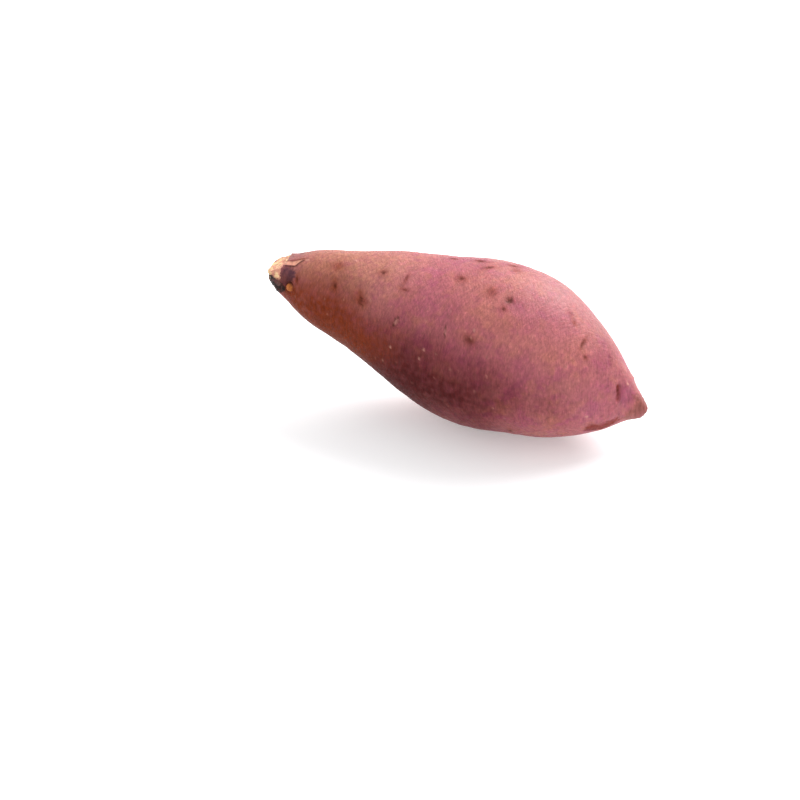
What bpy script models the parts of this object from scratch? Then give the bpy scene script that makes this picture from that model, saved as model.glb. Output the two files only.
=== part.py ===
"""Sweet potato: one whole tuber lying on its belly, as one closed solid.

Frame, in metres: X runs along the tuber from the stem end (-X) to the tail (+X), the front is
-Y and Z is up from the surface that it rests on. The origin is under the middle of its
bounding box. Angles round the tuber start at its top and grow towards its front.
"""

import math

import bmesh
import bpy
import numpy as np
from mathutils import Vector

NAME = "sweet_potato"
MM = 0.001

# The tuber's course, all in millimetres: the distance along it, how far its middle lies to the
# back, how high its middle lies, and its radius there. The stem end is a raised neck, the belly
# is thickest past the middle, and the tail drops almost to the resting surface.
COURSE = (
    (0.0, -1.0, 49.5, 5.0),
    (2.5, -0.8, 50.4, 7.1),
    (7.0, -0.4, 50.0, 9.1),
    (14.0, 0.0, 48.5, 13.0),
    (30.0, 1.0, 45.0, 18.5),
    (50.0, 1.5, 41.5, 24.5),
    (70.0, 2.0, 37.0, 30.0),
    (90.0, 2.0, 34.0, 33.5),
    (108.0, 2.0, 31.0, 33.0),
    (122.0, 2.0, 26.0, 28.0),
    (134.0, 2.0, 22.0, 22.0),
    (144.0, 2.5, 19.0, 14.5),
    (152.0, 3.0, 16.7, 6.7),
    (158.0, 3.5, 14.3, 2.6),
)
LENGTH = COURSE[-1][0]
RINGS = 56
SIDES = 68
POLE_RADIUS = 1e-6  # points of the unit sphere nearer its axis than this are its poles

# Long lobes that keep the sections from being round: how many there are round the tuber, their
# height as a share of the radius, where they start, and how they twist per millimetre of length.
LOBES = ((2, 0.016, 0.6, 0.014), (3, 0.010, 2.1, -0.022), (5, 0.004, 4.0, 0.030))
SWELL = 0.004  # height of the ripples that run round the tuber, as a share of the radius
SWELL_PITCH = 6.5  # millimetres of length for each radian of ripple
SWELL_LEAN = 1.3
SWELL_START = 0.5

# Broad hollows, most of them round an eye: the distance along the tuber in millimetres, the angle
# in degrees, then the depth and the reach in millimetres. A negative depth is a swelling.
HOLLOWS = (
    (80.0, 183.0, -5.0, 20.0),
    (13.0, 74.0, 0.5, 5.0),
    (31.0, -19.0, 0.5, 6.0),
    (32.0, 50.0, 0.4, 5.0),
    (45.0, 55.0, 0.5, 6.0),
    (61.0, 60.0, 0.4, 6.0),
    (76.0, -16.0, 0.5, 6.0),
    (84.0, 15.0, 0.5, 7.0),
    (92.0, 67.0, 1.0, 9.0),
    (101.0, -19.0, 0.5, 6.0),
    (105.0, 27.0, 0.8, 7.0),
    (135.0, 29.0, 0.5, 6.0),
    (145.0, 30.0, 0.8, 6.0),
    (150.0, 58.0, 1.2, 6.0),
    (24.0, 215.0, 0.6, 6.0),
    (40.0, 268.0, 0.8, 7.0),
    (58.0, 318.0, 0.6, 7.0),
    (66.0, 232.0, 0.9, 8.0),
    (88.0, 285.0, 0.9, 8.0),
    (108.0, 247.0, 0.6, 7.0),
    (118.0, 310.0, 0.8, 7.0),
    (134.0, 262.0, 0.8, 7.0),
    (147.0, 212.0, 0.6, 5.0),
)

# The small flat spot that it rests on is sliced off the belly this deep.
FLAT_DEPTH = 1.0 * MM
# The scar left by the stem is a slanting face on the stem end. It looks along SCAR_FACING, and
# lies SCAR_REACH from the middle of the tuber, measured where that is SCAR_ALONG from its start.
SCAR_FACING = Vector((-0.45, -0.08, 0.89)).normalized()
SCAR_ALONG = 4.0
SCAR_REACH = 4.8 * MM
CUTTER_SIZE = 300 * MM
SCAR_CUTTER_SIZE = 30 * MM

SKIN_COLOUR = (0.40, 0.13, 0.12, 1.0)
SKIN_ROUGHNESS = 0.45


def clear_scene():
    for scene_object in list(bpy.data.objects):
        bpy.data.objects.remove(scene_object, do_unlink=True)


def add_collection(name, hidden=False):
    collection = bpy.data.collections.new(name)
    collection.hide_render = hidden
    bpy.context.scene.collection.children.link(collection)
    return collection


def bends_of(knots, values):
    """The second derivative, at each knot, of the smoothest cubic curve through the values."""
    step = np.diff(knots)
    count = len(knots)
    equations = np.eye(count)
    change = np.zeros(count)
    for i in range(1, count - 1):
        equations[i, i - 1 : i + 2] = step[i - 1], 2 * (step[i - 1] + step[i]), step[i]
        rise_after = (values[i + 1] - values[i]) / step[i]
        rise_before = (values[i] - values[i - 1]) / step[i - 1]
        change[i] = 6 * (rise_after - rise_before)
    return np.linalg.solve(equations, change)


def smooth_curve(along, knots, values):
    """That curve's value and slope at each distance along."""
    bends = bends_of(knots, values)
    before = np.clip(np.searchsorted(knots, along, side="right") - 1, 0, len(knots) - 2)
    after = before + 1
    step = knots[after] - knots[before]
    past = along - knots[before]
    rise = (values[after] - values[before]) / step
    rise -= step * (bends[after] + 2 * bends[before]) / 6
    growth = (bends[after] - bends[before]) / step
    value = values[before] + rise * past + bends[before] * past**2 / 2 + growth * past**3 / 6
    slope = rise + bends[before] * past + growth * past**2 / 2
    return value, slope


def course_at(along):
    """The course's sideways place, height, radius and upward slope at each distance along."""
    knots, sideways, height, radius = np.array(COURSE).T
    height_here, slope_here = smooth_curve(along, knots, height)
    sideways_here = smooth_curve(along, knots, sideways)[0]
    radius_here = smooth_curve(along, knots, radius)[0]
    return sideways_here, height_here, radius_here, slope_here


def unevenness(along, angle):
    """What the radius is multiplied by, for the long lobes and the ripples round the tuber."""
    from_middle = along - LENGTH / 2
    factor = 1 + SWELL * np.sin(from_middle / SWELL_PITCH + SWELL_LEAN * np.sin(angle) + SWELL_START)
    for count, height, start, twist in LOBES:
        factor += height * np.sin(count * angle + start + twist * from_middle)
    return factor


def hollow_depth(along, angle, radius):
    """How far the hollows press the skin in, in millimetres."""
    depth_here = np.zeros_like(along)
    for hollow_along, hollow_angle, depth, reach in HOLLOWS:
        turn = angle - math.radians(hollow_angle)
        across = radius * np.abs((turn + math.pi) % (2 * math.pi) - math.pi)
        distance = np.hypot(along - hollow_along, across)
        depth_here += depth * np.exp(-((distance / reach) ** 2))
    return depth_here


def tuber_points(unit_points):
    """Points of a unit sphere, whose poles are on Z, laid on the tuber's surface."""
    along = LENGTH / 2 * (1 - np.clip(unit_points[:, 2], -1, 1))
    angle = np.arctan2(unit_points[:, 1], unit_points[:, 0])
    sideways, height, radius, slope = course_at(along)
    reach = radius * unevenness(along, angle) - hollow_depth(along, angle, radius)
    reach[np.hypot(unit_points[:, 0], unit_points[:, 1]) < POLE_RADIUS] = 0
    upwards = reach * np.cos(angle)
    lean = np.arctan(slope)
    return MM * np.column_stack(
        (
            along - upwards * np.sin(lean),
            sideways - reach * np.sin(angle),
            height + upwards * np.cos(lean),
        )
    )


def resting_shift(points):
    """What centres the tuber over the origin, its belly FLAT_DEPTH below the resting surface."""
    low, high = points.min(axis=0), points.max(axis=0)
    return Vector((-(low[0] + high[0]) / 2, -(low[1] + high[1]) / 2, -low[2] - FLAT_DEPTH))


def add_tuber(collection):
    """The tuber before it is cut, and how far it was shifted to lie on its belly."""
    mesh = bpy.data.meshes.new(NAME)
    shape = bmesh.new()
    bmesh.ops.create_uvsphere(shape, u_segments=SIDES, v_segments=RINGS, radius=1)
    points = tuber_points(np.array([vertex.co for vertex in shape.verts]))
    shift = resting_shift(points)
    for vertex, point in zip(shape.verts, points):
        vertex.co = Vector(point) + shift
    bmesh.ops.recalc_face_normals(shape, faces=shape.faces)
    shape.to_mesh(mesh)
    shape.free()
    mesh.shade_smooth()
    tuber = bpy.data.objects.new(NAME, mesh)
    collection.objects.link(tuber)
    return tuber, shift


def add_cutter(name, collection, size, face_at, facing):
    """A cube that takes away what lies past face_at, on the side that facing looks towards."""
    mesh = bpy.data.meshes.new(name)
    shape = bmesh.new()
    bmesh.ops.create_cube(shape, size=size)
    shape.to_mesh(mesh)
    shape.free()
    cutter = bpy.data.objects.new(name, mesh)
    cutter.location = face_at + facing * size / 2
    cutter.rotation_mode = "QUATERNION"
    cutter.rotation_quaternion = facing.to_track_quat("Z", "Y")
    cutter.hide_render = True
    cutter.display_type = "WIRE"
    collection.objects.link(cutter)
    return cutter


def cut(tuber, cutter):
    boolean = tuber.modifiers.new(cutter.name, "BOOLEAN")
    boolean.operation = "DIFFERENCE"
    boolean.solver = "EXACT"
    boolean.object = cutter


def scar_face_at(shift):
    """A point on the scar's face, for a tuber that was shifted that far."""
    sideways, height, _, _ = course_at(np.array([SCAR_ALONG]))
    middle = Vector((SCAR_ALONG, sideways[0], height[0])) * MM
    return middle + shift + SCAR_FACING * SCAR_REACH


def skin_material():
    material = bpy.data.materials.new("skin")
    material.use_nodes = True
    shader = material.node_tree.nodes["Principled BSDF"]
    shader.inputs["Base Color"].default_value = SKIN_COLOUR
    shader.inputs["Roughness"].default_value = SKIN_ROUGHNESS
    shader.inputs["Metallic"].default_value = 0.0
    return material


def main():
    clear_scene()
    cutters = add_collection("cutters", hidden=True)
    tuber, shift = add_tuber(add_collection(NAME))
    floor = add_cutter("floor_cutter", cutters, CUTTER_SIZE, Vector((0, 0, 0)), Vector((0, 0, -1)))
    scar = add_cutter("scar_cutter", cutters, SCAR_CUTTER_SIZE, scar_face_at(shift), SCAR_FACING)
    cut(tuber, floor)
    cut(tuber, scar)
    tuber.data.materials.append(skin_material())


main()
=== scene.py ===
"""The looks of the sweet potato: a fine skin laid over the CAD solid, its material, and a studio.

Places on the tuber are given as a share of its length, from the stem end (0) to the tail (1), and
an angle in degrees from its top (0) towards its front (90). Sizes on the skin are in millimetres.
"""

import math

import bpy
import numpy as np
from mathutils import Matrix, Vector, noise
from mathutils.bvhtree import BVHTree


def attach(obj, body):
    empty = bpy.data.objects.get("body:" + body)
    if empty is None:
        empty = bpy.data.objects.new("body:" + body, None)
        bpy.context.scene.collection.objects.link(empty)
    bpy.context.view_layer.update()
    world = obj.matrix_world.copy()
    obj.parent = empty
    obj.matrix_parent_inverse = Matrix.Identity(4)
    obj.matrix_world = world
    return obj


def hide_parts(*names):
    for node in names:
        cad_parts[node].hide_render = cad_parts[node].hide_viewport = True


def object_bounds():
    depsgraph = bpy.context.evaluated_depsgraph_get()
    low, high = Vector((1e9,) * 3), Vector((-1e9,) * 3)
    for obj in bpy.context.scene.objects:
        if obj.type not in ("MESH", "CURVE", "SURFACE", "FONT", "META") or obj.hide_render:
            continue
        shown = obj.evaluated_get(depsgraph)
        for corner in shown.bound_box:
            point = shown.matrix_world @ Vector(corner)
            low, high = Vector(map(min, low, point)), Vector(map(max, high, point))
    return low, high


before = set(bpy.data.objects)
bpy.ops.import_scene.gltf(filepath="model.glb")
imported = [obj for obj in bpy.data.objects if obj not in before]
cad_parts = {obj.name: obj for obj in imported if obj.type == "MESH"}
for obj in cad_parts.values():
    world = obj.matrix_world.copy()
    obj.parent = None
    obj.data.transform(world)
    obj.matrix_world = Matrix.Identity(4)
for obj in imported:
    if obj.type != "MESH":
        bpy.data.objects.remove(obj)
cad_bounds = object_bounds()

NODE = "sweet_potato"
MM = 0.001

# How finely the skin is laid: rings along the tuber and sides round it. The rays that find the
# skin start on the middle line, square to it between the two fans and fanned out at each end.
STEM_RINGS = 46
BODY_RINGS = 222
TAIL_RINGS = 40
SIDES = 318
STEM_FAN = 0.055
TAIL_FAN = 0.935
STEM_CROWDING = 1.25  # above 1, the rings lie closer together near the stem end
STATIONS = 60  # where the middle line is measured on the CAD solid
STATION_REACH = 3.5 * MM
MIDDLE_DEGREE = 6
FACET_PASSES = 34  # rounds of smoothing that take the CAD solid's facets away


class Tuber:
    """The CAD solid as a middle line, and a skin that rays square to that line meet."""

    def __init__(self, node):
        points = np.array([vertex.co for vertex in node.data.vertices])
        faces = [tuple(face.vertices) for face in node.data.polygons]
        self.tree = BVHTree.FromPolygons([Vector(point) for point in points], faces)
        self.start = points[:, 0].min()
        self.length = points[:, 0].max() - self.start
        shares = np.linspace(0, 1, STATIONS)
        middles = []
        for share in shares:
            near = np.abs(points[:, 0] - self.start - share * self.length) < STATION_REACH
            middles.append((points[near].min(axis=0) + points[near].max(axis=0)) / 2)
        middles = np.array(middles)
        self.sideways = np.polyfit(shares, middles[:, 1], MIDDLE_DEGREE)
        self.height = np.polyfit(shares, middles[:, 2], MIDDLE_DEGREE)

    def middle(self, share):
        """The point of the middle line at that share of the length."""
        return Vector(
            (
                self.start + share * self.length,
                np.polyval(self.sideways, share),
                np.polyval(self.height, share),
            )
        )

    def axes(self, share):
        """The directions along the tuber, up and to its front, square to each other."""
        slope = np.polyval(np.polyder(self.height), share) / self.length
        along = Vector((1, 0, slope)).normalized()
        front = Vector((0, -1, 0))
        return along, Vector((-along.z, 0, along.x)), front

    def outwards(self, share, angle):
        """The direction away from the middle line at an angle, in radians, from the top."""
        along, up, front = self.axes(share)
        return up * math.cos(angle) + front * math.sin(angle)

    def reach(self, share, angle, lean):
        """How far the skin lies along a ray that leans, in radians, towards the tail."""
        along = self.axes(share)[0]
        ray = self.outwards(share, angle) * math.cos(lean) + along * math.sin(lean)
        return self.tree.ray_cast(self.middle(share), ray)[3]

    def skin_at(self, share, degrees, tilt=0.0):
        """A skin point with the skin's own directions: along the tuber and round it, then turned
        by tilt degrees, and straight out of it."""
        outwards = self.outwards(share, math.radians(degrees))
        far = self.middle(share) + outwards * self.length
        point, normal, _, _ = self.tree.ray_cast(far, -outwards)
        if point is None:
            point, normal, _, _ = self.tree.find_nearest(self.middle(share))
        along = self.axes(share)[0]
        along = (along - normal * along.dot(normal)).normalized()
        around = along.cross(normal)
        turn = math.radians(tilt)
        across = along * math.cos(turn) + around * math.sin(turn)
        lengthways = around * math.cos(turn) - along * math.sin(turn)
        return np.array(point), np.array(across), np.array(lengthways), np.array(normal)


def ring_plan():
    """Each ring's share of the length and lean, from the stem end's pole to the tail's."""
    stem_leans = np.linspace(-math.pi / 2, 0, STEM_RINGS, endpoint=False)
    body_shares = STEM_FAN + (TAIL_FAN - STEM_FAN) * np.linspace(0, 1, BODY_RINGS) ** STEM_CROWDING
    tail_leans = np.linspace(math.pi / 2, 0, TAIL_RINGS, endpoint=False)[::-1]
    shares = np.concatenate(
        (np.full(STEM_RINGS, STEM_FAN), body_shares, np.full(TAIL_RINGS, TAIL_FAN))
    )
    leans = np.concatenate((stem_leans, np.zeros(BODY_RINGS), tail_leans))
    return shares, leans


def smoothed(reach, shares):
    """The reaches with the CAD solid's facets smoothed away, but less so near its ends."""
    smooth = reach.copy()
    for _ in range(FACET_PASSES):
        smooth = (np.roll(smooth, 1, axis=1) + 2 * smooth + np.roll(smooth, -1, axis=1)) / 4
        smooth[1:-1] = (smooth[:-2] + 2 * smooth[1:-1] + smooth[2:]) / 4
    from_stem = np.clip((shares - STEM_FAN) / STEM_FAN, 0.12, 1)
    return reach + (smooth - reach) * from_stem[:, None]


def skin_points(tuber):
    """The skin as a grid of points: rings along the tuber by sides round it."""
    shares, leans = ring_plan()
    angles = np.arange(SIDES) * 2 * math.pi / SIDES
    reach = np.array(
        [
            [tuber.reach(share, angle, lean) for angle in angles]
            for share, lean in zip(shares, leans)
        ]
    )
    reach = smoothed(reach, shares)
    points = np.empty((len(shares), SIDES, 3))
    for ring, (share, lean) in enumerate(zip(shares, leans)):
        along, up, front = (np.array(axis) for axis in tuber.axes(share))
        outwards = np.outer(np.cos(angles), up) + np.outer(np.sin(angles), front)
        rays = outwards * math.cos(lean) + along * math.sin(lean)
        points[ring] = np.array(tuber.middle(share)) + rays * reach[ring][:, None]
    points[:, :, 2] = np.maximum(points[:, :, 2], 0)
    return points


def skin_faces(rings):
    """The faces of a closed skin: one pole, then rings of SIDES points each, then the other."""
    last = 1 + rings * SIDES
    faces = []
    for side in range(SIDES):
        after = (side + 1) % SIDES
        faces.append((0, 1 + after, 1 + side))
        for ring in range(rings - 1):
            here = 1 + ring * SIDES
            faces.append((here + side, here + after, here + SIDES + after, here + SIDES + side))
        end = last - SIDES
        faces.append((last, end + side, end + after))
    return faces


def add_bake_map(mesh, rings):
    """A map of the skin for its colours: round the tuber by along it, open at the top seam."""
    corners = np.empty(len(mesh.loops), dtype=np.int32)
    mesh.loops.foreach_get("vertex_index", corners)
    side = (corners - 1) % SIDES
    ring = (corners - 1) // SIDES + 1
    starts = np.empty(len(mesh.polygons), dtype=np.int32)
    totals = np.empty(len(mesh.polygons), dtype=np.int32)
    mesh.polygons.foreach_get("loop_start", starts)
    mesh.polygons.foreach_get("loop_total", totals)
    face_side = np.repeat(np.arange(len(starts)) // (rings + 1), totals)
    side = np.where((side == 0) & (face_side == SIDES - 1), SIDES, side).astype(float)
    pole = (corners == 0) | (corners == rings * SIDES + 1)
    side[pole] = face_side[pole] + 0.5
    uv = np.column_stack((side / SIDES, np.where(corners == 0, 0, ring) / (rings + 1)))
    layer = mesh.uv_layers.new(name="OFBake")
    layer.data.foreach_set("uv", uv.ravel())


def skin_mesh(grid):
    """The closed mesh through a grid whose first and last rings are each one point."""
    rings = len(grid) - 2
    points = np.vstack((grid[0, :1], grid[1:-1].reshape(-1, 3), grid[-1, :1]))
    mesh = bpy.data.meshes.new("sweet_potato_skin")
    mesh.from_pydata(points.tolist(), [], skin_faces(rings))
    mesh.shade_smooth()
    add_bake_map(mesh, rings)
    return mesh


class Skin:
    """The skin's points, how far each is lifted, in millimetres, and how strongly it is marked."""

    def __init__(self, tuber, mesh):
        count = len(mesh.vertices)
        self.tuber = tuber
        self.mesh = mesh
        self.points = np.empty(count * 3)
        self.normals = np.empty(count * 3)
        mesh.vertices.foreach_get("co", self.points)
        mesh.vertices.foreach_get("normal", self.normals)
        self.points = self.points.reshape(-1, 3)
        self.normals = self.normals.reshape(-1, 3)
        self.share = (self.points[:, 0] - tuber.start) / tuber.length
        self.lift = np.zeros(count)
        self.marks = {name: np.zeros(count) for name in LAYERS}

    def spot(self, share, degrees, reach, tilt=0.0):
        """The points within reach of a place, and how far each lies across it and lengthways."""
        centre, across, lengthways, out = self.tuber.skin_at(share, degrees, tilt)
        away = (self.points - centre) / MM
        close = np.einsum("ij,ij->i", away, away) < reach**2
        near = np.flatnonzero(close & (self.normals @ out > SAME_SIDE))
        return near, away[near] @ across, away[near] @ lengthways

    def patch(self, share, degrees, outline, ragged):
        """How far inside an outline, given in millimetres across and lengthways from a place, the
        points near that place lie. Noise of ragged millimetres frays the outline."""
        outline = np.array(outline)
        reach = np.linalg.norm(outline, axis=1).max() + PATCH_MARGIN
        near, across, lengthways = self.spot(share, degrees, reach)
        here = np.column_stack((across, lengthways))
        inside = np.zeros(len(here), dtype=bool)
        closest = np.full(len(here), np.inf)
        for start, end in zip(outline, np.roll(outline, -1, axis=0)):
            side = end - start
            along = np.clip((here - start) @ side / (side @ side), 0, 1)
            closest = np.minimum(closest, np.linalg.norm(here - start - along[:, None] * side, axis=1))
            crosses = (start[1] > here[:, 1]) != (end[1] > here[:, 1])
            rise = side[1] if side[1] else 1.0
            inside ^= crosses & (here[:, 0] < start[0] + (here[:, 1] - start[1]) * side[0] / rise)
        depth = np.where(inside, closest, -closest)
        return near, depth + ragged * self.noise(FRAY_SIZE, 3, near=near)

    def route(self, places, width):
        """The points near a line through some places, and how near, from 1 on it down to 0."""
        shares, degrees = np.array(places).T
        steps = np.linspace(0, len(places) - 1, ROUTE_STEPS * (len(places) - 1) + 1)
        shares = np.interp(steps, range(len(places)), shares)
        degrees = np.interp(steps, range(len(places)), degrees)
        line = [self.tuber.skin_at(share, angle)[0] for share, angle in zip(shares, degrees)]
        low = np.min(line, axis=0) - 3 * width * MM
        high = np.max(line, axis=0) + 3 * width * MM
        near = np.flatnonzero(((self.points > low) & (self.points < high)).all(axis=1))
        away = np.full(len(near), np.inf)
        for point in line:
            away = np.minimum(away, np.linalg.norm(self.points[near] - point, axis=1) / MM)
        return near, np.exp(-((away / width) ** 2))

    def mark(self, name, near, amount):
        """Marks points, so that one mark on another never passes 1."""
        marks = self.marks[name]
        marks[near] = 1 - (1 - marks[near]) * (1 - np.clip(amount, 0, 1))

    def noise(self, size, octaves=2, stretch=(1, 1, 1), near=slice(None)):
        """Smooth noise on the skin, about -1 to 1, whose lumps are size millimetres across."""
        scaled = self.points[near] / (size * MM * np.array(stretch)) + size
        return np.array([noise.fractal(Vector(point), 1.0, 2.0, octaves) for point in scaled])

    def finish(self):
        """Moves the mesh's points out by their lift and stores their marks on them."""
        points = self.points + self.normals * (self.lift * MM)[:, None]
        low, high = (np.array(corner) for corner in cad_bounds)
        points = np.clip(points, low, high)
        self.mesh.vertices.foreach_set("co", points.ravel())
        for name, marks in self.marks.items():
            attribute = self.mesh.attributes.new(name, "FLOAT", "POINT")
            attribute.data.foreach_set("value", marks.astype(np.float32))
        self.mesh.update()


def soft(value, low, high):
    """0 below low and 1 above high, with a smooth change between."""
    rise = np.clip((value - low) / (high - low), 0, 1)
    return rise * rise * (3 - 2 * rise)


def bell(distance, width):
    return np.exp(-((distance / width) ** 2))


SAME_SIDE = -0.2  # a point whose normal turns further from a place's normal is round the back
PATCH_MARGIN = 2.5  # millimetres past an outline that a patch still measures
FRAY_SIZE = 0.8  # the size in millimetres of the noise that frays an outline
ROUTE_STEPS = 10  # points of a route between one of its places and the next

# The marks that the skin carries, in the order that the material lays them, each with its
# colour and how much noise breaks it up.
LAYERS = {
    "clay": ((0.41, 0.132, 0.104, 1), 0.3),
    "plum": ((0.31, 0.065, 0.110, 1), 0.3),
    # A pale, greyish pink that is a painted highlight.
    "painted_highlight": ((0.31, 0.125, 0.125, 1), 0.4),
    "olive": ((0.385, 0.150, 0.103, 1), 0.4),
    # A deep red skin tone, and also painted shade that darkens the lower front and the underside of
    # the tuber.
    "maroon_and_shade": ((0.068, 0.009, 0.009, 1), 0.10),
    # An orange-brown skin tone and stain, and also painted shade on the lower front, in creases and
    # under the tail.
    "rust_and_shade": ((0.150, 0.024, 0.007, 1), 0.2),
    "tail": ((0.235, 0.064, 0.054, 1), 0.4),
    "bruise": ((0.075, 0.020, 0.032, 1), 0.3),
    "bark": ((0.018, 0.010, 0.009, 1), 0.3),
    # A grey tone, partly the skin's own and partly a painted highlight on the dark bark and the top of
    # the stem end.
    "ash_and_highlight": ((0.160, 0.085, 0.080, 1), 0.5),
    "amber": ((0.420, 0.135, 0.035, 1), 0.2),
    "dark": ((0.070, 0.014, 0.007, 1), 0.15),
    "flesh": ((0.64, 0.290, 0.200, 1), 0.2),
    "cream": ((0.88, 0.620, 0.340, 1), 0.4),
    "pale": ((0.56, 0.270, 0.210, 1), 0.2),
}

# Broad tones of the skin: the mark, its place, its reach in millimetres and its strength.
TONES = (
    ("olive", 0.10, 15, 12, 0.5),
    ("olive", 0.16, 30, 12, 0.6),
    ("olive", 0.22, 10, 13, 0.6),
    ("olive", 0.30, 14, 12, 0.45),
    ("olive", 0.17, -25, 14, 0.6),
    ("olive", 0.25, 42, 9, 0.5),
    ("olive", 0.35, -40, 14, 0.4),
    # The rust tones low on the front of the neck are the skin's orange-brown, made darker than it is
    # as painted shade.
    ("rust_and_shade", 0.10, 98, 8, 0.4),
    ("rust_and_shade", 0.126, 80, 8, 0.25),
    ("rust_and_shade", 0.155, 98, 11, 0.8),
    ("rust_and_shade", 0.20, 86, 10, 0.4),
    ("rust_and_shade", 0.212, 100, 12, 0.95),
    ("rust_and_shade", 0.27, 84, 10, 0.5),
    ("rust_and_shade", 0.29, 100, 11, 0.8),
    ("rust_and_shade", 0.36, 84, 7, 0.5),
    # These two rust tones below the front are painted shade.
    ("rust_and_shade", 0.15, 122, 12, 0.8),
    ("rust_and_shade", 0.22, 118, 11, 0.8),
    # The maroon tones low on the front and under the belly are partly the skin's deep red and partly
    # painted shade. The two near the top of the tail are the skin's own tone.
    ("maroon_and_shade", 0.20, 138, 14, 0.8),
    ("maroon_and_shade", 0.30, 145, 14, 0.8),
    ("maroon_and_shade", 0.45, 135, 15, 0.8),
    ("maroon_and_shade", 0.60, 130, 15, 0.5),
    ("maroon_and_shade", 0.27, 122, 12, 0.8),
    ("maroon_and_shade", 0.33, 110, 12, 0.8),
    ("maroon_and_shade", 0.39, 122, 14, 0.97),
    ("maroon_and_shade", 0.40, 95, 11, 0.6),
    ("maroon_and_shade", 0.455, 104, 14, 0.95),
    ("maroon_and_shade", 0.53, 98, 14, 0.85),
    ("maroon_and_shade", 0.61, 100, 13, 0.7),
    ("maroon_and_shade", 0.42, 78, 10, 0.42),
    ("maroon_and_shade", 0.49, 70, 9, 0.38),
    ("maroon_and_shade", 0.35, 70, 9, 0.32),
    ("maroon_and_shade", 0.62, 82, 11, 0.35),
    ("maroon_and_shade", 0.70, 94, 12, 0.45),
    ("maroon_and_shade", 0.80, 100, 11, 0.35),
    ("maroon_and_shade", 0.86, 6, 12, 0.22),
    ("maroon_and_shade", 0.93, 20, 8, 0.15),
    ("rust_and_shade", 0.072, 92, 5, 0.8),
    ("rust_and_shade", 0.092, 84, 4, 0.7),
    ("dark", 0.060, 63, 2.4, 0.6),
    ("dark", 0.082, 62, 1.5, 0.5),
    # A grey tone at the top of the stem end, partly a painted highlight.
    ("ash_and_highlight", 0.065, -8, 4.5, 0.45),
    ("plum", 0.10, -4, 6, 0.45),
    ("clay", 0.14, 34, 8, 0.5),
    ("plum", 0.76, 28, 9, 0.45),
    ("plum", 0.70, 30, 7, 0.3),
    ("clay", 0.76, 48, 8, 0.4),
    ("plum", 0.075, 36, 5, 0.5),
    ("plum", 0.48, -6, 10, 0.5),
    ("plum", 0.41, 30, 9, 0.4),
    ("plum", 0.53, 42, 9, 0.4),
    ("plum", 0.60, 72, 8, 0.5),
    ("plum", 0.72, 75, 8, 0.5),
    ("plum", 0.885, 85, 9, 0.6),
    ("plum", 0.86, 25, 6, 0.5),
    ("plum", 0.935, 50, 5, 0.8),
    ("plum", 0.942, 52, 4, 0.8),
    ("plum", 0.682, 27, 3, 0.7),
    ("plum", 0.30, -30, 9, 0.4),
    ("clay", 0.62, 38, 11, 0.6),
    ("clay", 0.70, 55, 9, 0.45),
    ("clay", 0.56, 18, 8, 0.5),
    ("clay", 0.80, 32, 8, 0.5),
    ("clay", 0.67, 6, 9, 0.5),
    ("clay", 0.84, 66, 7, 0.4),
    # These four tones are a painted highlight on the top towards the tail.
    ("painted_highlight", 0.74, -14, 12, 0.6),
    ("painted_highlight", 0.82, -20, 10, 0.5),
    ("painted_highlight", 0.60, -30, 14, 0.4),
    ("painted_highlight", 0.53, -40, 9, 0.7),
    ("clay", 0.40, 200, 16, 0.6),
    # Painted shade under the belly, in maroon.
    ("maroon_and_shade", 0.56, 175, 16, 0.5),
    ("plum", 0.70, 230, 13, 0.6),
    ("olive", 0.22, 250, 14, 0.6),
    ("rust_and_shade", 0.33, 215, 10, 0.6),
    ("clay", 0.52, 285, 13, 0.6),
    ("plum", 0.40, 300, 12, 0.6),
    ("rust_and_shade", 0.80, 200, 9, 0.5),
    ("clay", 0.82, 280, 10, 0.5),
)

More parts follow.
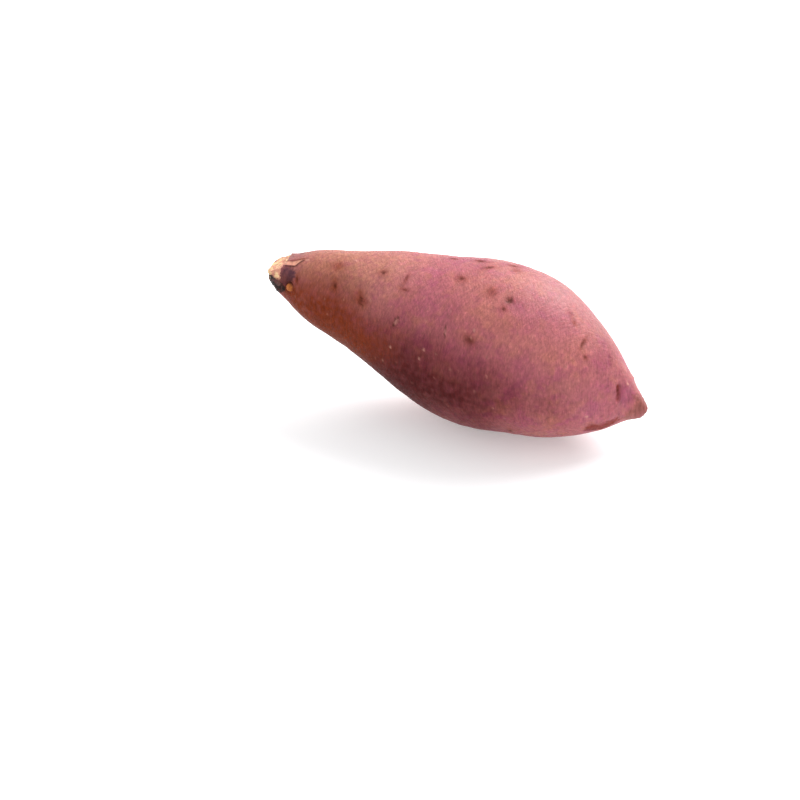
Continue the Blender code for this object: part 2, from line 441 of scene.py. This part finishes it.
# Breaks in the skin: the kind, the place, the half width along the tuber and half length round it
# in millimetres, how far it is turned in degrees, and its depth in millimetres.
EYES = (
    ("spot", 0.180, 22.2, 1.0, 0.9, 0, 0.15),
    ("slit", 0.097, 55.2, 0.45, 1.1, -15, 0.3),
    ("pit", 0.194, 48.1, 0.6, 1.1, -25, 0.35),
    ("pit", 0.287, 22.0, 0.9, 0.7, 0, 0.35),
    ("slit", 0.351, 23.2, 0.35, 1.3, 0, 0.3),
    ("slit", 0.361, 32.7, 0.9, 0.3, 0, 0.12),
    ("pit", 0.266, 51.0, 0.9, 0.45, 10, 0.35),
    ("pit", 0.269, 53.6, 1.2, 0.4, -5, 0.35),
    ("pit", 0.271, 56.4, 0.9, 0.4, 0, 0.25),
    ("spot", 0.257, 48.1, 0.9, 0.9, 0, 0.1),
    ("lip", 0.374, 58.7, 0.6, 1.1, 10, 0.45),
    ("lip", 0.524, 55.0, 0.32, 1.15, -5, 0.4),
    ("slit", 0.594, 57.5, 1.3, 1.0, 40, 0.45),
    ("pit", 0.518, 15.4, 1.2, 0.8, 10, 0.35),
    ("spot", 0.618, 22.2, 1.0, 1.3, 15, 0.2),
    ("pit", 0.657, 32.4, 0.5, 0.5, 0, 0.2),
    ("slit", 0.542, -8.7, 1.6, 0.7, 10, 0.3),
    ("slit", 0.632, -11.9, 1.6, 0.6, -25, 0.3),
    ("slit", 0.450, -8.8, 0.8, 0.5, 0, 0.2),
    ("slit", 0.582, 0.3, 1.4, 0.6, -35, 0.25),
    ("spot", 0.646, -5.3, 0.9, 0.9, 0, 0.15),
    ("slit", 0.813, 28.1, 0.35, 1.6, 5, 0.4),
    ("pit", 0.828, 40.1, 0.5, 0.5, 0, 0.15),
    ("spot", 0.772, 11.2, 0.5, 0.5, 0, 0.1),
    ("spot", 0.784, 16.4, 0.5, 0.5, 0, 0.1),
    ("pit", 0.155, 215.0, 0.9, 1.3, 10, 0.4),
    ("lip", 0.255, 268.0, 0.6, 1.5, -5, 0.45),
    ("pit", 0.365, 318.0, 1.1, 0.7, 0, 0.35),
    ("slit", 0.415, 232.0, 0.5, 1.9, 8, 0.5),
    ("pit", 0.550, 285.0, 1.3, 1.0, 0, 0.5),
    ("lip", 0.675, 247.0, 0.6, 1.4, 0, 0.4),
    ("slit", 0.735, 310.0, 0.5, 1.6, -10, 0.4),
    ("pit", 0.835, 262.0, 0.8, 1.1, 5, 0.4),
    ("slit", 0.915, 212.0, 0.4, 1.6, 0, 0.4),
    ("spot", 0.470, 262.0, 1.1, 0.9, 0, 0.15),
    ("spot", 0.610, 160.0, 1.0, 1.0, 0, 0.15),
    ("pit", 0.310, 155.0, 0.8, 0.9, 0, 0.3),
    ("slit", 0.700, 135.0, 0.4, 1.4, 12, 0.3),
)
# Pale flecks: the place, the half width and half length, and the height.
FLECKS = (
    (0.103, 19.6, 0.8, 0.45, 0.15),
    (0.208, 9.9, 0.5, 0.4, 0.15),
    (0.214, 11.0, 0.4, 0.4, 0.10),
    (0.602, 50.4, 0.3, 0.5, 0.10),
    (0.929, 20.0, 0.5, 0.5, 0.15),
    (0.381, 80.0, 0.4, 0.4, 0.12),
    (0.473, 70.9, 0.5, 0.4, 0.12),
    (0.465, 78.7, 0.4, 0.4, 0.12),
    (0.890, 107.0, 0.6, 0.5, 0.15),
    (0.520, 240.0, 0.5, 0.5, 0.12),
    (0.330, 290.0, 0.5, 0.4, 0.12),
)
# The largest eye, and the dark streaks that run from it: their direction and length.
GREAT_EYE = (0.663, 25.0)
GREAT_EYE_REACH = 9
GREAT_EYE_STREAKS = ((85, 3.2), (-80, 3.0), (150, 2.8), (20, 2.4), (-140, 3.0), (-35, 2.2))

# Patches at the ends of the tuber, each with its place and its outline in millimetres.
SCAR = (0.022, 38)
SCAR_OUTLINE = (
    (-9.0, -1.0), (-9.0, -9.0), (-5.0, -14.0), (1.0, -14.0), (3.4, -9.0), (3.8, -4.2), (4.3, -1.3),
    (3.5, 0.7), (2.6, 2.2), (2.0, 4.0), (0.4, 4.1), (-1.3, 2.9), (-3.6, 2.1), (-6.5, 1.5),
)
# The scar's flesh is creamier towards its stem side: the share of the length where the two are
# even, how fast that changes with the share, and the size of the noise that breaks it up.
CREAM_MIDDLE = 0.02
CREAM_FADE = 12.0
CREAM_SIZE = 2.4
STRIP = (0.067, 25)
STRIP_OUTLINE = (
    (-4.4, -1.0), (-1.5, -0.7), (1.1, -1.1), (3.3, -1.9), (3.2, -0.6), (2.3, 0.3), (1.6, 1.2),
    (-0.8, 1.1), (-3.0, 1.3), (-4.4, 1.3),
)
STRIP_TOP_PLACES = ((0.040, 17), (0.060, 19), (0.080, 17), (0.094, 16))
RIM_PLACES = (
    (0.051, 33.2), (0.062, 33.5), (0.078, 33.5), (0.083, 29), (0.088, 24.5), (0.095, 20.3),
)
BRUISE = (0.061, 50)
BRUISE_OUTLINE = (
    (-1.8, -2.4), (-2.3, -0.5), (-2.9, 1.0), (-2.9, 2.7), (-2.0, 5.2), (0.6, 4.9), (2.4, 3.6),
    (4.1, 2.2), (4.6, 0.2), (4.0, -1.6), (2.0, -2.7),
)
BARK = (0.035, 80)
BARK_OUTLINE = (
    (-6.0, -2.6), (-2.8, -2.7), (-0.7, -2.0), (1.3, -2.3), (3.3, -1.5), (4.9, -1.1), (6.2, 0.3),
    (4.7, 2.2), (2.6, 4.5), (-1.0, 6.0), (-5.0, 5.0), (-7.0, 1.0),
)
ASH_AND_HIGHLIGHT = (0.047, 72)
ASH_AND_HIGHLIGHT_OUTLINE = ((-1.9, -0.1), (-0.1, -1.0), (1.0, 0.8), (0.2, 2.4), (-0.9, 2.2))
STAIN = (0.085, 82)
STAIN_OUTLINE = ((-3.2, 0.3), (-1.2, 0.9), (1.5, -1.0), (3.5, -0.5), (0.8, 2.9), (-1.8, 2.4))
# Stumps of roots: the place, the radius and height in millimetres, and the mark that colours it.
STUBS = (
    (0.081, 74.3, 1.6, 1.1, "amber"),
    (0.620, 168, 0.9, 0.6, "rust_and_shade"),
    (0.240, 196, 0.8, 0.7, "rust_and_shade"),
)
TAIL_TIP = (0.965, 60)
TAIL_OUTLINE = (
    (-2.6, -1.5), (0.1, -3.9), (2.2, -3.7), (7.5, -3.7), (9.0, 0.5), (7.3, 4.9), (3.7, 7.2),
    (0.7, 8.6), (-0.6, 5.5), (0.9, 2.4), (0.5, -0.2),
)
# The crust under the tail: partly brown skin, partly painted shade where the tail nears the floor.
CRUST_AND_SHADE = (0.935, 124)
CRUST_AND_SHADE_OUTLINE = (
    (-8.1, 3.0), (-6.6, 1.0), (-2.6, 1.4), (0.1, -1.2), (3.7, -2.6), (6.4, -1.5), (4.0, 3.0),
    (-1.0, 6.5), (-6.0, 6.5),
)
# The tail's wrinkles are arcs round its tip: millimetres for each radian of wave, how far from the
# tip they reach, their height, how much they waver and the size of that wavering.
TAIL_ARC_PITCH = 0.28
TAIL_ARC_REACH = 7.0
TAIL_ARC_HEIGHT = 0.12
TAIL_ARC_WAVER = 0.5
TAIL_ARC_WAVER_SIZE = 2.0
CREASE_PLACES = ((0.915, 45), (0.918, 52), (0.923, 60), (0.926, 68), (0.928, 74))
FOLD_PLACES = ((0.866, 14), (0.869, 19), (0.875, 24.7))


# The uneven lie of the skin, from lumps to a grain: the height and size in millimetres, how many
# octaves of noise it has, and how far it is drawn out along the tuber and across it.
RELIEF = (
    (0.20, 13, 2, (1, 1, 1)),
    (0.10, 4.5, 2, (0.7, 1.4, 1.4)),
    (0.035, 1.6, 3, (0.6, 1.4, 1.4)),
)


def add_relief(skin):
    for height, size, octaves, stretch in RELIEF:
        skin.lift += height * skin.noise(size, octaves, stretch)


def add_tones(skin):
    for name, share, degrees, reach, strength in TONES:
        near, across, lengthways = skin.spot(share, degrees, 2.5 * reach)
        skin.mark(name, near, strength * bell(np.hypot(across, lengthways), reach))


# In sizes of the eye itself: how far out it is worked, how far its stain spreads, and where its
# raised edge lies and how wide that is. Its outline is frayed by noise of EYE_FRAY.
EYE_REACH = 6
EYE_STAIN = 2.6
EYE_EDGE = 1.6
EYE_EDGE_WIDTH = 0.5
EYE_FRAY = 0.25


def add_eye(skin, kind, share, degrees, wide, long, tilt, depth):
    """One break in the skin. A pit and a slit are dark inside, a lip is pale with a dark edge, and
    a spot is only stained."""
    near, across, lengthways = skin.spot(share, degrees, EYE_REACH * max(wide, long), tilt)
    fray = EYE_FRAY * skin.noise(0.7, 2, near=near)
    out = np.hypot(across / wide, lengthways / long) * (1 + fray)
    inside = bell(out, 1)
    around = bell(out, EYE_STAIN)
    edge = bell(out - EYE_EDGE, EYE_EDGE_WIDTH)
    if kind == "lip":
        skin.lift[near] += depth * (0.4 * inside - edge)
        skin.mark("pale", near, 0.5 * inside)
        skin.mark("dark", near, 0.8 * edge * soft(-across / wide, -1.6, 0.6))
    elif kind == "spot":
        skin.lift[near] -= depth * around
        skin.mark("rust_and_shade", near, 0.5 * around)
    else:
        skin.lift[near] += depth * (0.3 * edge - inside)
        skin.mark("dark", near, 0.75 * inside)
        skin.mark("rust_and_shade", near, 0.5 * around)


def add_great_eye(skin):
    """The largest eye: a ragged hollow that dark streaks run from."""
    share, degrees = GREAT_EYE
    near, across, lengthways = skin.spot(share, degrees, GREAT_EYE_REACH)
    away = np.hypot(across, lengthways)
    skin.lift[near] -= 0.30 * bell(away, 1.1) + 0.25 * bell(away, 4)
    skin.mark("rust_and_shade", near, 0.35 * bell(away, 2.2))
    skin.mark("dark", near, 0.7 * bell(np.hypot(across / 0.6, lengthways / 1.1), 1))
    for direction, length in GREAT_EYE_STREAKS:
        turn = math.radians(direction)
        onward = across * math.cos(turn) + lengthways * math.sin(turn)
        aside = lengthways * math.cos(turn) - across * math.sin(turn)
        streak = bell(aside, 0.5) * soft(onward, 0, 0.4) * soft(-onward, -length, -0.3 * length)
        skin.lift[near] -= 0.15 * streak
        skin.mark("dark", near, 0.85 * streak)


def add_fleck(skin, share, degrees, wide, long, height):
    """A small pale scab."""
    near, across, lengthways = skin.spot(share, degrees, 4 * max(wide, long))
    inside = bell(np.hypot(across / wide, lengthways / long), 1)
    skin.lift[near] += height * inside
    skin.mark("pale", near, 0.8 * inside)


def add_scar(skin):
    """The torn face that the stem left: cream flesh that runs into a peach strip, with a dark lip."""
    near, depth = skin.patch(*SCAR, SCAR_OUTLINE, 0.45)
    inside = soft(depth, -0.15, 0.25)
    torn = skin.noise(0.9, 3, near=near)
    fibres = skin.noise(0.5, 2, (3, 1, 1), near=near)
    skin.lift[near] += inside * (0.25 * torn + 0.12 * fibres - 0.8)
    skin.mark("flesh", near, inside)
    past_middle = skin.share[near] - CREAM_MIDDLE
    creamy = skin.noise(CREAM_SIZE, 2, near=near) - CREAM_FADE * past_middle
    skin.mark("cream", near, inside * soft(creamy, -0.35, 0.35))
    near, depth = skin.patch(*STRIP, STRIP_OUTLINE, 0.18)
    inside = soft(depth, -0.12, 0.12)
    skin.lift[near] -= 0.22 * inside
    skin.mark("flesh", near, 0.95 * inside)
    near, nearness = skin.route(RIM_PLACES, 0.42)
    skin.lift[near] += 0.25 * nearness
    skin.mark("dark", near, 0.95 * nearness)
    near, nearness = skin.route(STRIP_TOP_PLACES, 0.3)
    skin.lift[near] += 0.15 * nearness
    skin.mark("rust_and_shade", near, 0.8 * nearness)


def add_bark(skin):
    """The dark, corky skin under the scar: a bruise, charred-looking bark with grey flecks that are
    partly a painted highlight, and a brown stain.
    """
    near, depth = skin.patch(*BRUISE, BRUISE_OUTLINE, 0.8)
    inside = soft(depth, -1.2, 1.2)
    skin.lift[near] -= 0.25 * inside
    skin.mark("bruise", near, 0.9 * inside)
    near, depth = skin.patch(*BARK, BARK_OUTLINE, 0.45)
    inside = soft(depth, -0.3, 0.4)
    skin.lift[near] += inside * (0.1 + 0.35 * skin.noise(0.9, 3, near=near))
    skin.mark("bark", near, 0.97 * inside)
    # Grey flecks on the bark, partly a painted highlight.
    near, depth = skin.patch(*ASH_AND_HIGHLIGHT, ASH_AND_HIGHLIGHT_OUTLINE, 0.4)
    grey_flecks = soft(skin.noise(0.6, 2, near=near), -0.5, 0.1)
    skin.mark("ash_and_highlight", near, 0.75 * soft(depth, -0.3, 0.4) * grey_flecks)
    near, depth = skin.patch(*STAIN, STAIN_OUTLINE, 0.5)
    skin.mark("rust_and_shade", near, 0.7 * soft(depth, -0.8, 0.8))


def add_stub(skin, share, degrees, radius, height, colour):
    """A root's stump: a small knob with a dark ring round its upper side, which is a painted shadow.
    """
    near, across, lengthways = skin.spot(share, degrees, 5 * radius)
    away = np.hypot(across, lengthways)
    dome = np.sqrt(np.clip(1 - (away / radius) ** 2, 0, 1))
    skin.lift[near] += height * dome - 0.25 * radius * bell(away - 1.25 * radius, 0.35)
    skin.marks["bark"][near] *= soft(away, 0.8 * radius, 1.1 * radius)
    skin.mark(colour, near, soft(-away, -1.1 * radius, -0.9 * radius))
    # The dark ring on one side of the knob is a painted shadow.
    ring = bell(away - 1.3 * radius, 0.4) * soft(-across - lengthways, -1.2, 0.8)
    skin.mark("dark", near, 0.9 * ring)


def add_tail(skin):
    """The brown tail: wrinkled arcs round its tip, a deep crease above it and a crust below. The
    troughs of the arcs and the crease are darkened as painted shade, and the crust is partly brown
    skin and partly painted shade.
    """
    near, depth = skin.patch(*TAIL_TIP, TAIL_OUTLINE, 0.6)
    skin.mark("tail", near, 0.85 * soft(depth, -0.8, 1.2))
    tip = np.array(skin.tuber.middle(1.0))
    away = np.linalg.norm(skin.points - tip, axis=1) / MM
    wavy = away + TAIL_ARC_WAVER * skin.noise(TAIL_ARC_WAVER_SIZE, 2)
    arcs = np.sin(wavy / TAIL_ARC_PITCH) * bell(away, TAIL_ARC_REACH)
    skin.lift += TAIL_ARC_HEIGHT * arcs
    # Painted shade: the troughs of the arcs are darkened.
    skin.mark("dark", slice(None), 0.35 * np.clip(-arcs, 0, 1))
    # The crust is partly brown skin and partly painted shade under the tail.
    near, depth = skin.patch(*CRUST_AND_SHADE, CRUST_AND_SHADE_OUTLINE, 1.2)
    inside = soft(depth, -1.6, 1.6)
    skin.lift[near] += 0.15 * inside * skin.noise(0.9, 2, near=near)
    skin.mark("rust_and_shade", near, 0.75 * inside)
    # The crease is darkened along its line: painted shade in the crease.
    near, nearness = skin.route(CREASE_PLACES, 1.0)
    skin.lift[near] -= 0.8 * nearness
    skin.mark("rust_and_shade", near, 0.8 * nearness)
    near, nearness = skin.route(CREASE_PLACES[1:-1], 0.6)
    skin.mark("dark", near, 0.75 * nearness)
    near, nearness = skin.route(FOLD_PLACES, 0.8)
    skin.lift[near] -= 0.4 * nearness
    skin.mark("plum", near, 0.8 * nearness)


# Small marks strewn over the skin at random: how many there are of each, where, and their sizes in
# millimetres. Pairs are the least and the most.
SEED = 7
PORES = 420
PORE_SHARES = (0.06, 0.97)
PORE_LENGTHS = (0.25, 0.7)
PORE_SLIMNESS = (0.4, 0.9)  # its width for each millimetre of its length
PORE_STRENGTHS = (0.08, 0.32)
PALE_PORES = 0.55  # the share of them that are pale and raised, where the rest are dark and sunk
PORE_HEIGHT = 0.05
PORE_DEPTH = 0.08
WRINKLES = 70
WRINKLE_CROWDING = 0.9  # below 1, the wrinkles crowd towards the ends
WRINKLE_SPAN = 0.9  # the share of the length that has them
WRINKLE_START = 0.05
WRINKLE_TURNS = (4, 16)  # degrees round the tuber that each covers
WRINKLE_BENDS = (-0.006, 0.006)  # how far its middle strays along the tuber, as a share
WRINKLE_DRIFTS = (-0.004, 0.004)  # how far its end does
WRINKLE_DEPTHS = (0.05, 0.16)
WRINKLE_WIDTHS = (0.22, 0.4)


def add_pores(skin, chance):
    """Small pale or dark pores, longer round the tuber than along it."""
    for _ in range(PORES):
        share = chance.uniform(*PORE_SHARES)
        degrees = chance.uniform(0, 360)
        long = chance.uniform(*PORE_LENGTHS)
        wide = long * chance.uniform(*PORE_SLIMNESS)
        strength = chance.uniform(*PORE_STRENGTHS)
        is_pale = chance.random() < PALE_PORES
        near, across, lengthways = skin.spot(share, degrees, 3 * long)
        inside = bell(np.hypot(across / wide, lengthways / long), 1)
        skin.lift[near] += (PORE_HEIGHT if is_pale else -PORE_DEPTH) * inside
        skin.mark("pale" if is_pale else "dark", near, strength * inside)


def add_wrinkles(skin, chance):
    """Fine creases that run part of the way round the tuber, darkened in step with their depth as
    painted shade.
    """
    for _ in range(WRINKLES):
        crowded = chance.beta(WRINKLE_CROWDING, WRINKLE_CROWDING)
        share = crowded * WRINKLE_SPAN + WRINKLE_START
        degrees = chance.uniform(0, 360)
        turn = chance.uniform(*WRINKLE_TURNS)
        bend = chance.uniform(*WRINKLE_BENDS)
        depth = chance.uniform(*WRINKLE_DEPTHS)
        drift = chance.uniform(*WRINKLE_DRIFTS)
        places = (
            (share, degrees),
            (share + bend, degrees + turn / 2),
            (share + drift, degrees + turn),
        )
        near, nearness = skin.route(places, chance.uniform(*WRINKLE_WIDTHS))
        skin.lift[near] -= depth * nearness
        # Painted shade: each crease is darkened in step with its depth.
        skin.mark("rust_and_shade", near, 1.6 * depth * nearness)


def lay_skin(skin):
    """All the skin's relief and marks."""
    chance = np.random.default_rng(SEED)
    add_relief(skin)
    add_tones(skin)
    add_pores(skin, chance)
    add_wrinkles(skin, chance)
    for eye in EYES:
        add_eye(skin, *eye)
    add_great_eye(skin)
    for fleck in FLECKS:
        add_fleck(skin, *fleck)
    add_bark(skin)
    add_scar(skin)
    add_tail(skin)
    for stub in STUBS:
        add_stub(skin, *stub)
    skin.finish()


class Nodes:
    """A material's nodes, each made and linked in one call."""

    def __init__(self, material):
        self.tree = material.node_tree
        self.shader = self.tree.nodes["Principled BSDF"]
        self.places = self.make("ShaderNodeTexCoord").outputs["Object"]

    def make(self, kind, **settings):
        node = self.tree.nodes.new(kind)
        for name, value in settings.items():
            setattr(node, name, value)
        return node

    def feed(self, socket, value):
        """Links an output to a socket, or sets the socket to a plain value."""
        if isinstance(value, bpy.types.NodeSocket):
            self.tree.links.new(value, socket)
        else:
            socket.default_value = value

    def mark(self, name):
        return self.make("ShaderNodeAttribute", attribute_name=name).outputs["Fac"]

    def stretched(self, scale, turn):
        """The places on the tuber, drawn out by scale along axes turned by turn, in degrees."""
        mapping = self.make("ShaderNodeMapping", vector_type="TEXTURE")
        self.feed(mapping.inputs["Vector"], self.places)
        mapping.inputs["Scale"].default_value = scale
        mapping.inputs["Rotation"].default_value = [math.radians(angle) for angle in turn]
        return mapping.outputs["Vector"]

    def noise(self, size, detail=2.0, scale=(1, 1, 1), turn=(0, 0, 0)):
        """Noise from 0 to 1 whose lumps are size millimetres across."""
        texture = self.make("ShaderNodeTexNoise")
        self.feed(texture.inputs["Vector"], self.stretched(scale, turn))
        texture.inputs["Scale"].default_value = 1 / (size * MM)
        texture.inputs["Detail"].default_value = detail
        return texture.outputs["Fac"]

    def specks(self, size, wide):
        """Round specks, one in each size of millimetres, that reach wide shares of it out."""
        texture = self.make("ShaderNodeTexVoronoi")
        self.feed(texture.inputs["Vector"], self.places)
        texture.inputs["Scale"].default_value = 1 / (size * MM)
        return self.between(texture.outputs["Distance"], wide, 0)

    def between(self, value, low, high, new_low=0.0, new_high=1.0):
        """A value spread from low and high to the new ones, and held there."""
        node = self.make("ShaderNodeMapRange")
        self.feed(node.inputs["Value"], value)
        node.inputs["From Min"].default_value = low
        node.inputs["From Max"].default_value = high
        node.inputs["To Min"].default_value = new_low
        node.inputs["To Max"].default_value = new_high
        return node.outputs["Result"]

    def work(self, operation, first, second):
        node = self.make("ShaderNodeMath", operation=operation)
        self.feed(node.inputs[0], first)
        self.feed(node.inputs[1], second)
        return node.outputs["Value"]

    def mix(self, factor, first, second, blend="MIX"):
        node = self.make("ShaderNodeMix", data_type="RGBA", blend_type=blend)
        self.feed(node.inputs["Factor"], factor)
        self.feed(node.inputs[6], first)
        self.feed(node.inputs[7], second)
        return node.outputs[2]


PINK = (0.345, 0.086, 0.098, 1)
ROSE = (0.390, 0.118, 0.122, 1)
BROAD_SIZE = 16  # millimetres across the broad patches of pink and rose
# Small blotches all over the skin: their colour, the size of the noise that places them in
# millimetres, the noise value that they start and are full at, and their strength.
BLOTCHES = (
    ((0.40, 0.130, 0.088, 1), 6.5, 0.50, 0.66, 0.60),
    ((0.32, 0.060, 0.115, 1), 5.0, 0.50, 0.66, 0.65),
    ((0.44, 0.160, 0.120, 1), 2.3, 0.54, 0.70, 0.22),
    ((0.25, 0.050, 0.085, 1), 1.9, 0.54, 0.70, 0.25),
)
# The noise that breaks up the marks, the one that darkens and lightens everything, and the specks:
# their sizes in millimetres, and how far the last two change the colour.
BREAKING_SIZE = 2.6
MOTTLE_SIZE = 1.3
MOTTLE = (0.86, 1.14)
FRECKLE_SIZE = 2.3
FRECKLE_REACH = 0.22
FRECKLE = 1.3
# Fine lines that cross each other round the tuber: their width in millimetres, how far they are
# drawn out, how far each set is turned from the tuber's length, in degrees, and how dark and light.
LINE_SIZE = 0.6
LINE_STRETCH = (1, 5, 5)
LINE_TURNS = (32, -32)
LINE_TONES = (0.87, 1.13)


def skin_colour(nodes):
    """Pink skin mottled at several scales, with each mark's colour laid over it."""
    broad = nodes.between(nodes.noise(BROAD_SIZE, 3), 0.35, 0.65)
    colour = nodes.mix(broad, PINK, ROSE)
    for tone, size, start, full, strength in BLOTCHES:
        amount = nodes.between(nodes.noise(size, 2.5), start, full, 0, strength)
        colour = nodes.mix(amount, colour, tone)
    broken = nodes.noise(BREAKING_SIZE, 5)
    for name, (tone, breaking) in LAYERS.items():
        edge = nodes.between(broken, 0.35, 0.65, 1 - breaking, 1 + breaking)
        amount = nodes.work("MULTIPLY", nodes.mark(name), edge)
        colour = nodes.mix(nodes.between(amount, 0, 1), colour, tone)
    mottle = nodes.between(nodes.noise(MOTTLE_SIZE, 5), 0.3, 0.7, *MOTTLE)
    colour = nodes.mix(1.0, colour, mottle, "MULTIPLY")
    for turn in LINE_TURNS:
        lines = nodes.noise(LINE_SIZE, 2, LINE_STRETCH, (0, 0, turn))
        colour = nodes.mix(1.0, colour, nodes.between(lines, 0.3, 0.7, *LINE_TONES), "MULTIPLY")
    freckles = nodes.between(nodes.specks(FRECKLE_SIZE, FRECKLE_REACH), 0, 1, 1.0, FRECKLE)
    return nodes.mix(1.0, colour, freckles, "MULTIPLY")


GRAIN_SIZE = 0.45
ROUGH_SIZE = 1.5
ROUGHNESS = (0.42, 0.58)
SHINE = 0.28
# The maroon and rust marks that dull the shine are partly painted shade.
DULL_SHINE = 0.04  # where the skin is maroon or rust
FULL_DULLNESS = 0.6  # the strength of those marks at which it is that dull
BUMP_HEIGHT = 0.2 * MM
BUMP_STRENGTH = 0.7


def skin_bump(nodes):
    """The height of the fine lines, over a grain."""
    height = nodes.noise(GRAIN_SIZE, 3)
    for turn in LINE_TURNS:
        height = nodes.work("ADD", height, nodes.noise(LINE_SIZE, 2, LINE_STRETCH, (0, 0, turn)))
    return height


def skin_material():
    material = bpy.data.materials.new("skin")
    material.use_nodes = True
    nodes = Nodes(material)
    nodes.feed(nodes.shader.inputs["Base Color"], skin_colour(nodes))
    rough = nodes.between(nodes.noise(ROUGH_SIZE, 3), 0.3, 0.7, *ROUGHNESS)
    nodes.feed(nodes.shader.inputs["Roughness"], rough)
    # The mask of maroon and rust marks, which are partly painted shade, dulls the shine.
    rust_maroon_and_shade = nodes.work("MAXIMUM", nodes.mark("maroon_and_shade"), nodes.mark("rust_and_shade"))
    shine = nodes.between(rust_maroon_and_shade, 0, FULL_DULLNESS, SHINE, DULL_SHINE)
    nodes.feed(nodes.shader.inputs["Specular IOR Level"], shine)
    bump = nodes.make("ShaderNodeBump")
    bump.inputs["Distance"].default_value = BUMP_HEIGHT
    bump.inputs["Strength"].default_value = BUMP_STRENGTH
    nodes.feed(bump.inputs["Height"], skin_bump(nodes))
    nodes.feed(nodes.shader.inputs["Normal"], bump.outputs["Normal"])
    return material


FLOOR_SIZE = 6
FLOOR_COLOUR = (0.75, 0.75, 0.76, 1)
FLOOR_ROUGHNESS = 0.9
FLOOR_GLOW = 0.3
KEY_PLACE = Vector((0.30, 0.60, 0.65))  # from the middle of the tuber
KEY_SIZE = 0.8
KEY_POWER = 14


def add_floor():
    """A pale table that glows faintly, so that it comes out white."""
    bpy.ops.mesh.primitive_plane_add(size=FLOOR_SIZE)
    floor = bpy.context.object
    floor.name = "floor"
    material = bpy.data.materials.new("light_table")
    material.use_nodes = True
    shader = material.node_tree.nodes["Principled BSDF"]
    shader.inputs["Base Color"].default_value = FLOOR_COLOUR
    shader.inputs["Roughness"].default_value = FLOOR_ROUGHNESS
    shader.inputs["Emission Color"].default_value = (1, 1, 1, 1)
    shader.inputs["Emission Strength"].default_value = FLOOR_GLOW
    floor.data.materials.append(material)


def add_key_light():
    """A square soft light that looks at the middle of the tuber."""
    low, high = cad_bounds
    data = bpy.data.lights.new("key", "AREA")
    data.size = KEY_SIZE
    data.energy = KEY_POWER
    softbox = bpy.data.objects.new("key", data)
    softbox.location = (low + high) / 2 + KEY_PLACE
    softbox.rotation_mode = "QUATERNION"
    softbox.rotation_quaternion = (-KEY_PLACE).to_track_quat("-Z", "Y")
    bpy.context.scene.collection.objects.link(softbox)


def set_world():
    """White light from all round, shown as it is."""
    world = bpy.data.worlds.new("white_studio")
    world.use_nodes = True
    background = world.node_tree.nodes["Background"]
    background.inputs["Color"].default_value = (1, 1, 1, 1)
    background.inputs["Strength"].default_value = 1.0
    bpy.context.scene.world = world
    bpy.context.scene.view_settings.view_transform = "Standard"


CAMERA_AZIMUTH = 19.0
CAMERA_ELEVATION = 30.0
CAMERA_DISTANCE = 0.8931
CAMERA_LENS = 100.0
# The camera circles this point, given from the middle of the tuber's box, and looks this far to
# its right and above it, so that the tuber sits right of and above the picture's middle.
CAMERA_PIVOT = Vector((0.0003, -0.0021, 0.0002))
CAMERA_AIM = (-0.0220, -0.0240)


def add_camera():
    """The camera, at the photograph's viewing angle."""
    low, high = cad_bounds
    azimuth, elevation = math.radians(CAMERA_AZIMUTH), math.radians(CAMERA_ELEVATION)
    back = Vector(
        (
            math.sin(azimuth) * math.cos(elevation),
            -math.cos(azimuth) * math.cos(elevation),
            math.sin(elevation),
        )
    )
    right = Vector((math.cos(azimuth), math.sin(azimuth), 0))
    up = back.cross(right)
    pivot = (low + high) / 2 + CAMERA_PIVOT
    aim = pivot + right * CAMERA_AIM[0] + up * CAMERA_AIM[1]
    data = bpy.data.cameras.new("camera")
    data.lens = CAMERA_LENS
    camera = bpy.data.objects.new("camera", data)
    camera.location = pivot + back * CAMERA_DISTANCE
    camera.rotation_mode = "QUATERNION"
    camera.rotation_quaternion = (aim - camera.location).to_track_quat("-Z", "Y")
    bpy.context.scene.collection.objects.link(camera)
    bpy.context.scene.camera = camera


def add_tuber():
    """The whole visible skin, in place of the CAD solid."""
    tuber = Tuber(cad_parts[NODE])
    mesh = skin_mesh(skin_points(tuber))
    lay_skin(Skin(tuber, mesh))
    mesh.materials.append(skin_material())
    body = bpy.data.objects.new("sweet_potato_body", mesh)
    bpy.context.scene.collection.objects.link(body)
    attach(body, "root")
    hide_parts("sweet_potato")


add_tuber()
add_floor()
add_key_light()
set_world()
add_camera()
